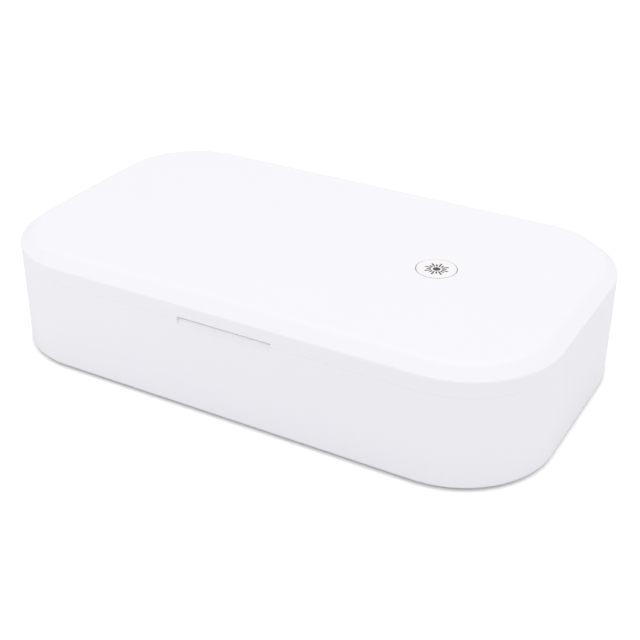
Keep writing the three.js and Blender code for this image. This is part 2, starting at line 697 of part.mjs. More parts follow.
// The lead that comes out of the hinge bush, and the lead that goes on from there inside the lid
const baseHingeLead = lead([
  [-pocketHalf - seatGap, hingeY, hingeZ],
  [-pocketEnd + seatGap, hingeY, hingeZ],
  [-pocketEnd - leadRadius, hingeY, hingeZ],
  [-pocketEnd - leadGrooveLength / 2, hingeY - leadRadius, hingeZ - leadRadius],
  [-pocketEnd - leadGrooveLength / 2, hingeY - 2 * leadRadius, (hingeZ + pocketFloorZ) / 2],
  [-pocketEnd, mainBoardRear - wall, mainBoardTop + portHeight + wall],
  [-mainBoardLength / 2, mainBoardRear - 2 * wall, mainBoardTop + wall],
  [-mainBoardLength / 2 + mainBoardRise, mainBoardRear - 2 * wall, mainBoardTop + leadRadius + seatGap],
], leadSteps);
const lidHingeLead = lead([
  [-blockHalf + seatGap, hingeY, lidHingeZ],
  [leadChannelX - 2 * leadChannelRadius, hingeY, lidHingeZ],
  [leadChannelX - leadRadius, hingeY, lidHingeZ + leadRadius / 2],
  [leadChannelX, hingeY - seatGap, lidHingeZ + 2 * leadRadius],
  [leadChannelX, hingeY - seatGap, lidHingeZ / 2],
  [leadChannelX, hingeY - seatGap, linerTop / 2],
  [leadChannelX + leadRadius, hingeY - barrelRadius / 2, linerTop + 3 * leadRadius],
  [leadChannelX + stripWidth / 2, lampRow + stripWidth, upperStripTop + seatGap + leadRadius],
  [-lampSpread / 2, lampRow, upperStripTop + seatGap + leadRadius],
  [0, lampRow - stripWidth, upperStripTop + seatGap + leadRadius],
  [controlBoardX - controlBoardLength / 3, 0, controlBoardTop + seatGap + leadRadius],
], leadSteps);
const upperStripLead = lead([
  [lampSpread / 2, lampRow, upperStripTop + seatGap + leadRadius],
  [lampSpread / 2 + stripWidth / 4, lampRow - stripWidth / 2, upperStripTop + seatGap + leadRadius],
  [controlBoardX - controlBoardLength / 6, controlBoardWidth / 4, controlBoardTop + seatGap + leadRadius],
], leadSteps / 2);
const lowerStripLead = lead([
  [-lampSpread, -lampRow, lowerStripUnder - seatGap - leadRadius],
  [-lampSpread + stripWidth / 2, -lampRow + stripWidth, floorWall + 2 * leadRadius],
  [-mainBoardLength / 2, mainBoardFront - stripWidth / 2, mainBoardUnder],
  [-mainBoardLength / 3, mainBoardFront + leadRadius, mainBoardTop + seatGap + 2 * leadRadius],
  [-mainBoardLength / 4, mainBoardFront + stripWidth / 2, mainBoardTop + seatGap + leadRadius],
], leadSteps / 2);
const sensorX = -magnetX + sensorOut;
const sensorTop = frameUnder - seatGap;
const sensorLead = lead([
  [sensorX, magnetY, sensorTop - sensorHeight - seatGap - leadRadius],
  [sensorX - leadRadius, magnetY, (sensorTop + trayFloorUnder) / 2],
  [sensorX - leadRadius, magnetY + leadRadius, trayFloorUnder],
  [sensorX - sensorOut, -lampRow - stripWidth, floorWall + 3 * leadRadius],
  [sensorX - sensorOut, 0, floorWall + 2 * leadRadius],
  [-mainBoardLength / 2 - sensorOut, mainBoardFront - leadRadius, mainBoardTop],
  [-mainBoardLength / 2 + sensorOut / 2, mainBoardFront + stripWidth, mainBoardTop + seatGap + leadRadius],
], leadSteps);

const group = new THREE.Group();

function addToBase(name, body, material, x = 0, y = 0, z = 0) {
  group.add(piece(name, body, material, x, y, z + footProud));
}

function addToLid(name, body, material, x = 0, y = 0, z = 0) {
  group.add(piece(name, body, material, x, y, z + footProud + lidAboveBase));
}

const longScrew = screw(largeScrew, largeScrew.length);
const shortScrew = screw(largeScrew, largeScrew.shortLength);
const screwUp = screw(smallScrew, smallScrew.length);
const screwDown = screwUp.rotate([180, 0, 0]);
const lampUp = makeLamp();
const lampDown = lampUp.rotate([180, 0, 0]);
const foot = makeFoot();
const strip = makeStrip();
const quartzWindow = makeWindow();
const magnet = post(0, 0, 0, magnetThickness, magnetRadius);
const catchPlate = post(0, 0, 0, catchThickness, magnetRadius);

addToBase("base_shell", makeBaseShell(), whiteShell);
addToBase("tray_frame", makeTrayFrame(), whiteShell);
addToBase("phone_tray", makeTray(), mirrorLining);
addToBase("tray_seal", makeSeal(), clearSilicone);
for (const c of corners(cornerPostX, cornerPostY)) {
  addToBase(`foot_${c.name}`, foot, greyRubber, c.x, c.y);
  addToBase(`base_screw_${c.name}`, longScrew, steel, c.x, c.y, screwSeat - seatGap);
  addToLid(`lid_screw_${c.name}`, shortScrew, steel, c.x, c.y, linerScrewSeat);
}
addToBase("uv_strip_lower", strip, whiteBoard, 0, -lampRow, lowerStripUnder);
addToBase("uv_window_lower", quartzWindow, quartz, 0, -lampRow, lowerWindowUnder);
addToLid("uv_strip_upper", strip, whiteBoard, 0, lampRow, upperStripUnder);
addToLid("uv_window_upper", quartzWindow, quartz, 0, lampRow, upperWindowTop - windowThickness);
lampPlaceShares.forEach((share, i) => {
  addToBase(`uv_lamp_lower_${i + 1}`, lampUp, lampCeramic, share * lampSpread, -lampRow, lowerStripTop);
  addToLid(`uv_lamp_upper_${i + 1}`, lampDown, lampCeramic, share * lampSpread, lampRow, upperStripUnder);
});
for (const s of sides) {
  const stripX = s.sign * stripScrewX;
  addToBase(`strip_screw_lower_${s.name}`, screwDown, steel, stripX, -lampRow, lowerStripTop + seatGap);
  addToLid(`strip_screw_upper_${s.name}`, screwUp, steel, stripX, lampRow, upperStripUnder - seatGap);
  addToLid(`lid_magnet_${s.name}`, magnet, nickel, s.sign * magnetX, magnetY, linerTop + seatGap);
  addToBase(`catch_plate_${s.name}`, catchPlate, steel, s.sign * magnetX, magnetY, sensorTop - catchThickness);
}
addToBase("main_board", makeMainBoard(), greenBoard, 0, 0, mainBoardUnder);
for (const s of mainScrews) {
  addToBase(`main_board_screw_${s.name}`, screwDown, steel, s.x, s.y, mainBoardTop + seatGap);
}
addToBase("usb_c_shell", makePortShell(), nickel, 0, portMouth, portMid);
addToBase("usb_c_tongue", makePortTongue(), blackPlastic, 0, portMouth, portMid);
addToBase("inductor", makeInductor(), greyFerrite, inductor.x, mainBoardRear - inductor.fromRear, mainBoardTop);
addToBase("capacitor", post(0, 0, 0, capacitor.height, capacitor.radius), aluminiumCan, capacitor.x, mainBoardRear - capacitor.fromRear, mainBoardTop);
addToBase("driver_chip", makeChip(), blackPlastic, driverChip.x, mainBoardRear - driverChip.fromRear, mainBoardTop);
addToBase("hinge_pin_right", makeHingePin(), steel, 0, hingeY, hingeZ);
addToBase("hinge_bush_left", makeHingeBush(), steel, 0, hingeY, hingeZ);
addToBase("base_hinge_lead", baseHingeLead, leadJacket);
addToBase("lower_strip_lead", lowerStripLead, leadJacket);
addToBase("lid_sensor", block(-sensorSide / 2, sensorSide / 2, -sensorSide / 2, sensorSide / 2, -sensorHeight, 0), blackPlastic, sensorX, magnetY, sensorTop);
addToBase("lid_sensor_lead", sensorLead, leadJacket);
addToLid("lid_shell", makeLidShell(), whiteShell);
addToLid("lid_liner", makeLidLiner(), mirrorLining);
addToLid("control_board", makeControlBoard(), greenBoard, 0, 0, controlBoardUnder);
for (const s of controlScrews) {
  addToLid(`control_board_screw_${s.name}`, screwUp, steel, s.x, s.y, controlBoardUnder - seatGap);
}
addToLid("switch_body", makeSwitchBody(), blackPlastic, buttonX, 0, controlBoardTop);
addToLid("switch_plunger", post(0, 0, 0, plungerHeight, plungerRadius), greyRubber, buttonX, 0, plungerTop - plungerHeight);
addToLid("power_button", makeButton(), whiteButton, buttonX, 0);
addToLid("lid_hinge_lead", lidHingeLead, leadJacket);
addToLid("upper_strip_lead", upperStripLead, leadJacket);

export default group;
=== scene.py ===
import bmesh
import bpy
import json
import math
from mathutils import Matrix, Vector


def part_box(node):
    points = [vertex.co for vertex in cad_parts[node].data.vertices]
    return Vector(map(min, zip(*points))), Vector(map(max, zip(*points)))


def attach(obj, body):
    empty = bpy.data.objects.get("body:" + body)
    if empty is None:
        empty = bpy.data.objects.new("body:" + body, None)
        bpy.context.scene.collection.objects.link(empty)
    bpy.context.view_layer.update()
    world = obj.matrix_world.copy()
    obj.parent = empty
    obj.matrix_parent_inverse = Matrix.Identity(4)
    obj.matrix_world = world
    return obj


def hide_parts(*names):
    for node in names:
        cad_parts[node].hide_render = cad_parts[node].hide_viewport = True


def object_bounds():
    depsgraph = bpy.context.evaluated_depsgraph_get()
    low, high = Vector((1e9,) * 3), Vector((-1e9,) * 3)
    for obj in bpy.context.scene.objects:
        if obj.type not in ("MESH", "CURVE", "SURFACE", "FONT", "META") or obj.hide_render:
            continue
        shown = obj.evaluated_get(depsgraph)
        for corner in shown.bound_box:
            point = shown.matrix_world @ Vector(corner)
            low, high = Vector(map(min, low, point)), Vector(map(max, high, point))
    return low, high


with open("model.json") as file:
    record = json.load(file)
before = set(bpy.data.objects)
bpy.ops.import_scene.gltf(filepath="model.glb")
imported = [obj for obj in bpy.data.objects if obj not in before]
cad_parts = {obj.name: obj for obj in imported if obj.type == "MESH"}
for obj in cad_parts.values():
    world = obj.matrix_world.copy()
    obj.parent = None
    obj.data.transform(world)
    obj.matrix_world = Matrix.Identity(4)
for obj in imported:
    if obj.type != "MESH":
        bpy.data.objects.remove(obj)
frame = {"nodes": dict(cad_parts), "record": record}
cadLow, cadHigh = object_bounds()
print("frame loaded")

# Lengths are in millimetres times mm, so in metres
mm = 0.001
overrun = 3 * mm  # how far a cutter passes the surface that it opens
seatGap = 0.3 * mm  # between pieces that seat on each other
nearness = 1e-6  # points closer than this count as one
topFacing = 0.99  # the upward share of a normal past which a face counts as a top
breakAngle = math.radians(33)  # edges sharper than this are broken
smoothAngle = math.radians(30)  # edges flatter than this are shaded smooth

# How finely round pieces and rounded edges are divided
sides = {"hole": 24, "post": 32, "ring": 48, "disc": 64, "button": 96}
steps = {"crisp": 2, "tiny": 3, "small": 4, "edge": 5, "rim": 6, "broad": 8}

# Plan and walls that all the shells share
box = {
    "cornerRadius": 36.5 * mm,
    "wall": 2.6 * mm,
    "floor": 2.2 * mm,
    "cornerSteps": 28,
    "crispEdge": 0.1 * mm,
    "postReach": 28 * mm,  # from the centre of a corner out to its screw
    "shankHole": 1.5 * mm,
    "linerLift": 0.6 * mm,  # from the lid's under edge up to the liner
    "lineGap": 0.01 * mm,  # between the walls of lid and base
}

# Hinge block of the lid and the pocket that it turns in
hinge = {
    "barrel": 3.0 * mm,
    "blockHalf": 55 * mm,
    "blockRise": 2.5 * mm,
    "pin": 1.75 * mm,
    "bore": 2.0 * mm,
    "sideGap": 0.5 * mm,
    "frontGap": 0.5 * mm,
    "floorGap": 1.0 * mm,
    "pocketWall": 2.4 * mm,
    "ear": 6 * mm,
}

# Heights and places worked out from the frame
halfX = cadHigh.x
halfY = cadHigh.y
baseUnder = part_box("base_shell")[0].z
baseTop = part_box("base_shell")[1].z
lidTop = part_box("lid_shell")[1].z
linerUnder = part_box("lid_liner")[0].z
lidUnder = linerUnder - box["linerLift"]
partingHeight = (baseTop + lidUnder) / 2
skirtUnder = baseTop + box["lineGap"]
floorTop = baseUnder + box["floor"]
hingeY = halfY - hinge["barrel"]
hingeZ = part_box("hinge_pin_right")[0].z + hinge["pin"]
pocketHalf = hinge["blockHalf"] + hinge["sideGap"]
pocketFront = hingeY - hinge["barrel"] - hinge["frontGap"]
pocketFloor = hingeZ - hinge["barrel"] - hinge["floorGap"]
postShift = box["postReach"] * math.sqrt(0.5)
postX = halfX - box["cornerRadius"] + postShift
postY = halfY - box["cornerRadius"] + postShift
cornerPlaces = [(sx * postX, sy * postY) for sx in (-1, 1) for sy in (-1, 1)]


def deselectAll():
    if bpy.context.object and bpy.context.object.mode != "OBJECT":
        bpy.ops.object.mode_set(mode="OBJECT")
    bpy.ops.object.select_all(action="DESELECT")


def makeActive(piece):
    deselectAll()
    piece.select_set(True)
    bpy.context.view_layer.objects.active = piece


def named(name):
    piece = bpy.context.object
    piece.name = name
    piece.data.name = name
    bpy.ops.object.transform_apply(location=True, rotation=True, scale=True)
    return piece


def block(name, low, high):
    deselectAll()
    bpy.ops.mesh.primitive_cube_add(size=1, location=(Vector(low) + Vector(high)) / 2)
    bpy.context.object.scale = Vector(high) - Vector(low)
    return named(name)


def upright(name, x, y, low, high, radius, count=sides["disc"]):
    deselectAll()
    place = (x, y, (low + high) / 2)
    bpy.ops.mesh.primitive_cylinder_add(vertices=count, radius=radius, depth=high - low, location=place)
    return named(name)


def crossBar(name, low, high, y, z, radius, count=sides["ring"]):
    deselectAll()
    place = ((low + high) / 2, y, z)
    turn = (0, math.pi / 2, 0)
    bpy.ops.mesh.primitive_cylinder_add(
        vertices=count, radius=radius, depth=high - low, location=place, rotation=turn)
    return named(name)


def copyOf(piece, name, place=(0, 0, 0), turn=0, axis="Z"):
    twin = bpy.data.objects.new(name, piece.data.copy())
    twin.data.name = name
    twin.data.transform(Matrix.Translation(place) @ Matrix.Rotation(turn, 4, axis))
    bpy.context.scene.collection.objects.link(twin)
    return twin


def joined(name, parts):
    deselectAll()
    for part in parts:
        part.select_set(True)
    bpy.context.view_layer.objects.active = parts[0]
    bpy.ops.object.join()
    return named(name)


def remove(piece):
    bpy.data.objects.remove(piece, do_unlink=True)


def middle(node):
    low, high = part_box(node)
    return (low.x + high.x) / 2, (low.y + high.y) / 2


def nodesNamed(start):
    return [name for name in frame["nodes"] if name.startswith(start)]


# Opens a piece for editing and selects the edges or faces that pass the test
def pick(piece, kind, wanted):
    makeActive(piece)
    bpy.ops.object.mode_set(mode="EDIT")
    bpy.ops.mesh.select_mode(type=kind)
    bpy.ops.mesh.select_all(action="DESELECT")
    shape = bmesh.from_edit_mesh(piece.data)
    shape.normal_update()
    for part in shape.edges if kind == "EDGE" else shape.faces:
        if wanted(part):
            part.select_set(True)
    bmesh.update_edit_mesh(piece.data)


def endsOf(edge):
    return edge.verts[0].co, edge.verts[1].co


def pickEdges(piece, wanted):
    pick(piece, "EDGE", lambda edge: wanted(*endsOf(edge)))


def roundEdges(piece, wanted, width, count):
    pickEdges(piece, wanted)
    bpy.ops.mesh.bevel(offset=width, segments=count, profile=0.5, affect="EDGES")
    bpy.ops.object.mode_set(mode="OBJECT")


def isUpright(a, b):
    return abs(a.z - b.z) > nearness and abs(a.x - b.x) < nearness and abs(a.y - b.y) < nearness


def runsInward(a, b):
    return abs(a.y - b.y) > overrun / 2


def bothAt(height):
    return lambda a, b: abs(a.z - height) < nearness and abs(b.z - height) < nearness


def roundedBlock(name, inset, low, high):
    piece = block(name, (inset - halfX, inset - halfY, low), (halfX - inset, halfY - inset, high))
    roundEdges(piece, isUpright, box["cornerRadius"] - inset, box["cornerSteps"])
    return piece


def combine(piece, tool, operation):
    makeActive(piece)
    modifier = piece.modifiers.new("combine", "BOOLEAN")
    modifier.operation = operation
    modifier.solver = "EXACT"
    modifier.object = tool
    bpy.ops.object.modifier_apply(modifier=modifier.name)
    remove(tool)


def cutAway(piece, *tools):
    for tool in tools:
        combine(piece, tool, "DIFFERENCE")


def addOn(piece, *tools):
    for tool in tools:
        combine(piece, tool, "UNION")


# Breaks the sharp edges, apart from the spared ones, and smooths the rest
def soften(piece, width=box["crispEdge"], spared=None):
    def isSharp(edge):
        return edge.calc_face_angle(0) > breakAngle and not (spared and spared(*endsOf(edge)))

    if width:
        pick(piece, "EDGE", isSharp)
        bpy.ops.mesh.bevel(offset=width, segments=steps["crisp"], affect="EDGES",
                           clamp_overlap=True, miter_outer="ARC")
    makeActive(piece)
    bpy.ops.object.shade_smooth_by_angle(angle=smoothAngle)
    weighted = piece.modifiers.new("weighted", "WEIGHTED_NORMAL")
    weighted.keep_sharp = True
    bpy.ops.object.modifier_apply(modifier=weighted.name)


def mathNode(tree, operation, first, second, third=None):
    node = tree.nodes.new("ShaderNodeMath")
    node.operation = operation
    for socket, given in zip(node.inputs, (first, second, third)):
        if isinstance(given, (int, float)):
            socket.default_value = given
        elif given is not None:
            tree.links.new(given, socket)
    return node.outputs[0]


def noiseNode(tree, place, scale, detail):
    node = tree.nodes.new("ShaderNodeTexNoise")
    node.inputs["Detail"].default_value = detail
    tree.links.new(place, node.inputs["Vector"])
    tree.links.new(scale, node.inputs["Scale"])
    return node.outputs["Fac"]


# One group gives every finish its drift of tone, its uneven gloss and its fine grain
def makeFinishGroup():
    group = bpy.data.node_groups.new("finishDetail", "ShaderNodeTree")
    given = {"Color": "Color", "Drift": "Float", "DriftScale": "Float", "Gloss": "Float",
             "GlossSpread": "Float", "GrainScale": "Float", "GrainDepth": "Float"}
    wanted = {"Color": "Color", "Roughness": "Float", "Normal": "Vector"}
    for side, sockets in (("INPUT", given), ("OUTPUT", wanted)):
        for name, kind in sockets.items():
            group.interface.new_socket(name, in_out=side, socket_type="NodeSocket" + kind)
    nodes, links = group.nodes, group.links
    source = nodes.new("NodeGroupInput").outputs
    result = nodes.new("NodeGroupOutput").inputs
    place = nodes.new("ShaderNodeTexCoord").outputs["Object"]
    cloud = noiseNode(group, place, source["DriftScale"], 3)
    centred = mathNode(group, "SUBTRACT", cloud, 0.5)
    amount = mathNode(group, "MULTIPLY_ADD", centred, source["Drift"], 1)
    tint = nodes.new("ShaderNodeVectorMath")
    tint.operation = "SCALE"
    links.new(source["Color"], tint.inputs[0])
    links.new(amount, tint.inputs["Scale"])
    links.new(tint.outputs[0], result["Color"])
    gloss = mathNode(group, "MULTIPLY_ADD", centred, source["GlossSpread"], source["Gloss"])
    links.new(gloss, result["Roughness"])
    bump = nodes.new("ShaderNodeBump")
    links.new(noiseNode(group, place, source["GrainScale"], 2), bump.inputs["Height"])
    links.new(source["GrainDepth"], bump.inputs["Distance"])
    links.new(bump.outputs["Normal"], result["Normal"])
    return group


finishGroup = makeFinishGroup()


def finish(name, color, gloss, drift=0.01, driftScale=25, glossSpread=0.08,
           grainScale=1500, grainDepth=0.004 * mm, fixed=None):
    material = bpy.data.materials.new(name)
    material.use_nodes = True
    nodes, links = material.node_tree.nodes, material.node_tree.links
    shader = nodes["Principled BSDF"]
    detail = nodes.new("ShaderNodeGroup")
    detail.node_tree = finishGroup
    values = {"Color": (*color, 1), "Drift": drift, "DriftScale": driftScale, "Gloss": gloss,
              "GlossSpread": glossSpread, "GrainScale": grainScale, "GrainDepth": grainDepth}
    for socket, value in values.items():
        detail.inputs[socket].default_value = value
    for made, taken in (("Color", "Base Color"), ("Roughness", "Roughness"), ("Normal", "Normal")):
        links.new(detail.outputs[made], shader.inputs[taken])
    for socket, value in (fixed or {}).items():
        shader.inputs[socket].default_value = value
    return material


# The finish of each material slot of the part
metal = {"Metallic": 1.0}
shellPlastic = {"IOR": 1.46}
finishes = {
    "white_shell": finish("satinWhite", (0.875, 0.868, 0.915), 0.42, fixed=shellPlastic),
    "white_button": finish("buttonWhite", (0.892, 0.869, 0.878), 0.45, fixed=shellPlastic),
    "mirror_lining": finish("metallisedLining", (0.80, 0.81, 0.83), 0.17, drift=0.04, driftScale=40,
                            glossSpread=0.1, grainScale=260, grainDepth=0.03 * mm, fixed=metal),
    "grey_rubber": finish("greyRubber", (0.42, 0.42, 0.43), 0.8, drift=0.1,
                          grainScale=900, grainDepth=0.02 * mm),
    "clear_silicone": finish("milkySilicone", (0.74, 0.75, 0.76), 0.5, drift=0.04,
                             fixed={"Subsurface Weight": 0.3}),
    "steel": finish("brightSteel", (0.56, 0.57, 0.58), 0.3, drift=0.1, driftScale=300, fixed=metal),
    "nickel": finish("platedNickel", (0.66, 0.65, 0.63), 0.22, drift=0.06, driftScale=300, fixed=metal),
    "green_board": finish("greenBoard", (0.02, 0.13, 0.06), 0.38, drift=0.3, driftScale=200,
                          grainDepth=0.01 * mm),
    "white_board": finish("whiteBoard", (0.76, 0.76, 0.72), 0.4, drift=0.05, driftScale=200),
    "lamp_ceramic": finish("lampCeramic", (0.72, 0.66, 0.48), 0.35, drift=0.08, driftScale=600),
    "quartz": finish("quartzWindow", (0.95, 0.98, 1.0), 0.04, glossSpread=0.03, grainDepth=0.001 * mm,
                     fixed={"Transmission Weight": 1.0, "IOR": 1.46}),
    "black_plastic": finish("blackPlastic", (0.02, 0.02, 0.022), 0.5, drift=0.2),
    "grey_ferrite": finish("greyFerrite", (0.06, 0.06, 0.065), 0.65, drift=0.3, driftScale=400,
                           grainDepth=0.02 * mm),
    "aluminium_can": finish("aluminiumCan", (0.62, 0.63, 0.65), 0.32, drift=0.05, driftScale=300,
                            fixed=metal),
    "lead_jacket": finish("leadJacket", (0.68, 0.68, 0.69), 0.5, drift=0.06, driftScale=200),
}


def dress(piece, material, body, *replaced):
    piece.data.materials.clear()
    piece.data.materials.append(material)
    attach(piece, body)
    if replaced:
        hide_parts(*replaced)


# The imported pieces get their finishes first; some are then replaced by finer ones
for entry in frame["record"]["subparts"]:
    for holder in frame["nodes"][entry["node"]].material_slots:
        holder.material = finishes[entry["material_slot"]]
print("finishes made")


# Finger notch: one cutter serves both shells, with an undercut above and a slope below
notch = {
    "half": 19.5 * mm,
    "rise": 1.3 * mm,
    "drop": 2.2 * mm,
    "depth": 1.1 * mm,
    "overhangShare": 1.2,
    "endRound": 0.3 * mm,
    "slotBottom": 0.15 * mm,
    "slotHeight": 0.6 * mm,
    "slotReach": 0.9 * mm,
}


def notchCutter(name):
    slope = (notch["rise"] + notch["drop"]) / notch["depth"] - notch["overhangShare"]
    reach = notch["depth"] + overrun
    under = partingHeight - notch["drop"] - overrun * slope
    back = -halfY + notch["depth"]
    low = (-notch["half"], -halfY - overrun, under)
    cutter = block(name, low, (notch["half"], back, partingHeight + notch["rise"]))
    pickEdges(cutter, lambda a, b: bothAt(under)(a, b) and min(a.y, b.y) > back - seatGap)
    bpy.ops.transform.translate(value=(0, 0, reach * slope))
    bpy.ops.object.mode_set(mode="OBJECT")
    roundEdges(cutter, runsInward, notch["endRound"], steps["broad"])
    return cutter


# The dark slot behind the lid's lip
def slotCutter():
    half = notch["half"] - notch["endRound"]
    front = -halfY + notch["depth"] - seatGap
    low = partingHeight + notch["slotBottom"]
    high = (half, front + notch["slotReach"], low + notch["slotHeight"])
    return block("lipSlot", (-half, front, low), high)


# Lid shell: a sloped cover with the hinge block, the button hole and the posts of its screws
lid = {
    "chamferDrop": 4.3 * mm,
    "chamferInset": 5.4 * mm,
    "topWall": 2.0 * mm,
    "rimRound": 0.4 * mm,
    "shoulderRound": 1.6 * mm,
    "rearRelief": 0.5 * mm,
    "reliefReach": 1 * mm,
    "postRadius": 3.2 * mm,
    "postRise": 3.9 * mm,
}
rimHeight = lidTop - lid["chamferDrop"]
ceiling = lidTop - lid["topWall"]


def slopeTop(piece):
    pick(piece, "FACE", lambda face: face.normal.z > topFacing)
    bpy.ops.mesh.inset(thickness=lid["chamferInset"], depth=lid["chamferDrop"])
    bpy.ops.object.mode_set(mode="OBJECT")


def makeLidCover():
    cover = roundedBlock("lidShell", 0, skirtUnder, rimHeight)
    slopeTop(cover)
    roundEdges(cover, bothAt(rimHeight), lid["rimRound"], steps["rim"])
    roundEdges(cover, bothAt(lidTop), lid["shoulderRound"], steps["broad"])
    cavity = roundedBlock("lidCavity", box["wall"], lidUnder - overrun, ceiling - lid["chamferDrop"])
    slopeTop(cavity)
    reliefLow = (-halfX, hingeY - lid["reliefReach"], lidUnder - overrun)
    reliefHigh = (halfX, halfY + overrun, lidUnder + lid["rearRelief"])
    cutAway(cover, cavity, block("rearRelief", reliefLow, reliefHigh))
    return cover


def makeLidShell():
    cover = makeLidCover()
    half = hinge["blockHalf"]
    blockHigh = (half, halfY, lidUnder + hinge["blockRise"])
    addOn(cover, block("hingeUpright", (-half, hingeY - hinge["barrel"], hingeZ), blockHigh))
    addOn(cover, crossBar("hingeBarrel", -half, half, hingeY, hingeZ, hinge["barrel"]))
    for side in (-1, 1):
        reach = sorted((side * (half - 2 * overrun), side * (half + overrun)))
        cutAway(cover, crossBar("pinHole", *reach, hingeY, hingeZ, hinge["bore"]))
    holeRadius = button["radius"] + button["gap"]
    cutAway(cover, upright("buttonHole", button["x"], 0, ceiling - overrun, lidTop + overrun,
                           holeRadius, sides["button"]))
    cutAway(cover, notchCutter("lidNotch"))
    cutAway(cover, slotCutter())
    postLow = linerUnder + lid["postRise"]
    for x, y in cornerPlaces:
        addOn(cover, upright("lidPost", x, y, postLow, (ceiling + lidTop) / 2,
                             lid["postRadius"], sides["post"]))
        cutAway(cover, upright("lidPilot", x, y, postLow - overrun, ceiling - seatGap,
                               box["shankHole"], sides["hole"]))
    soften(cover, spared=bothAt(skirtUnder))
    dress(cover, finishes["white_shell"], "lid", "lid_shell")


# Press button with its printed sun
button = {
    "x": middle("power_button")[0],
    "radius": 7.5 * mm,
    "gap": 0.28 * mm,
    "edgeRound": 0.2 * mm,
    "flange": 1.5 * mm,
    "flangeThickness": 0.7 * mm,
    "stem": 1.2 * mm,
}
sun = {
    "dot": 1.4 * mm,
    "rays": 16,
    "rayWidth": 0.6 * mm,
    "rayEndShare": 0.9,  # of half the width, the rounding of a ray's ends
    "rayStart": 2.05 * mm,
    "longRay": 4.75 * mm,
    "shortRay": 3.7 * mm,
    "printDepth": 0.02 * mm,
    "toFront": 0.45 * mm,
    "toRight": 0.25 * mm,
    "ink": finish("printedGrey", (0.055, 0.05, 0.055), 0.55, drift=0.15, driftScale=900),
}


def makeButton():
    low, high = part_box("power_button")
    flangeTop = ceiling - seatGap
    flangeUnder = flangeTop - button["flangeThickness"]
    cap = upright("powerButton", button["x"], 0, flangeUnder, high.z, button["radius"], sides["button"])
    roundEdges(cap, bothAt(high.z), button["edgeRound"], steps["edge"])
    addOn(cap, upright("buttonFlange", button["x"], 0, flangeUnder, flangeTop,
                       button["radius"] + button["flange"], sides["button"]))
    addOn(cap, upright("buttonStem", button["x"], 0, low.z, flangeTop - seatGap,
                       button["stem"], sides["post"]))
    soften(cap)
    dress(cap, finishes["white_button"], "button", "power_button")


def makeRay(end):
    half = sun["rayWidth"] / 2
    ray = block("sunRay", (sun["rayStart"], -half, -sun["printDepth"]), (end, half, sun["printDepth"]))
    roundEdges(ray, isUpright, half * sun["rayEndShare"], steps["small"])
    return ray


def makeSun():
    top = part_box("power_button")[1].z
    x, y = button["x"] + sun["toRight"], -sun["toFront"]
    place = (x, y, top)
    parts = [upright("sunDot", x, y, top - sun["printDepth"], top + sun["printDepth"],
                     sun["dot"], sides["ring"])]
    patterns = [makeRay(sun["longRay"]), makeRay(sun["shortRay"])]
    for i in range(sun["rays"]):
        parts.append(copyOf(patterns[i % 2], "sunRayTurned", place, 2 * math.pi * i / sun["rays"]))
    for pattern in patterns:
        remove(pattern)
    whole = joined("powerSun", parts)
    dress(whole, sun["ink"], "button")


makeLidShell()
print("lid shell made")
makeButton()
makeSun()
print("button made")


# Base shell: a tub with a ledge for the tray, the hinge pocket, the screw cups and the power socket's hole
base = {
    "bottomRound": 1.2 * mm,
    "topRound": 0.15 * mm,
    "ledgeInset": 2.0 * mm,
    "cupRadius": 4.6 * mm,
    "cupRise": 5.0 * mm,
    "headRadius": 3.1 * mm,
    "headRise": 3.5 * mm,
    "footRadius": 6.3 * mm,
    "footRise": 1.3 * mm,
    "portGap": 0.4 * mm,
    "portRound": 1.8 * mm,
}
rim = {
    "thickness": 1.7 * mm,
    "postRadius": 3.2 * mm,
    "postRise": 5.3 * mm,
    "postDepth": 15.5 * mm,
    "ringRadius": 3.8 * mm,
    "ringBore": 2.8 * mm,
}
ledgeTop = baseTop - rim["thickness"] - seatGap


def makeHingePocket(tub):
    earEnd = pocketHalf + hinge["ear"]
    massLow = (-earEnd, pocketFront - hinge["pocketWall"], pocketFloor - hinge["pocketWall"])
    addOn(tub, block("hingeMass", massLow, (earEnd, halfY - box["wall"] / 2, ledgeTop)))
    cutAway(tub, roundedBlock("ledge", base["ledgeInset"], ledgeTop, baseTop + overrun))
    pocketHigh = (pocketHalf, halfY + overrun, baseTop + overrun)
    cutAway(tub, block("pocket", (-pocketHalf, pocketFront, pocketFloor), pocketHigh))
    cutAway(tub, crossBar("earBore", -earEnd - overrun, earEnd + overrun, hingeY, hingeZ, hinge["bore"]))


def makePortHole(tub):
    low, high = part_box("usb_c_shell")
    gap = base["portGap"]
    holeHigh = (high.x + gap, halfY + overrun, high.z + gap)
    hole = block("portHole", (low.x - gap, low.y, low.z - gap), holeHigh)
    roundEdges(hole, runsInward, base["portRound"], steps["broad"])
    cutAway(tub, hole)


def makeBaseShell():
    tub = roundedBlock("baseShell", 0, baseUnder, baseTop)
    roundEdges(tub, bothAt(baseUnder), base["bottomRound"], steps["rim"])
    roundEdges(tub, bothAt(baseTop), base["topRound"], steps["edge"])
    cutAway(tub, roundedBlock("baseInside", box["wall"], floorTop, baseTop + overrun))
    makeHingePocket(tub)
    cutAway(tub, notchCutter("baseNotch"))
    makePortHole(tub)
    cupTop = baseUnder + base["cupRise"]
    for x, y in cornerPlaces:
        addOn(tub, upright("screwCup", x, y, (baseUnder + floorTop) / 2, cupTop,
                           base["cupRadius"], sides["post"]))
        cutAway(tub, upright("headRoom", x, y, baseUnder - overrun, baseUnder + base["headRise"],
                             base["headRadius"], sides["post"]))
        cutAway(tub, upright("shankHole", x, y, baseUnder, cupTop + overrun,
                             box["shankHole"], sides["hole"]))
        cutAway(tub, upright("footRecess", x, y, baseUnder - overrun, baseUnder + base["footRise"],
                             base["footRadius"], sides["ring"]))
    soften(tub)
    dress(tub, finishes["white_shell"], "base", "base_shell")


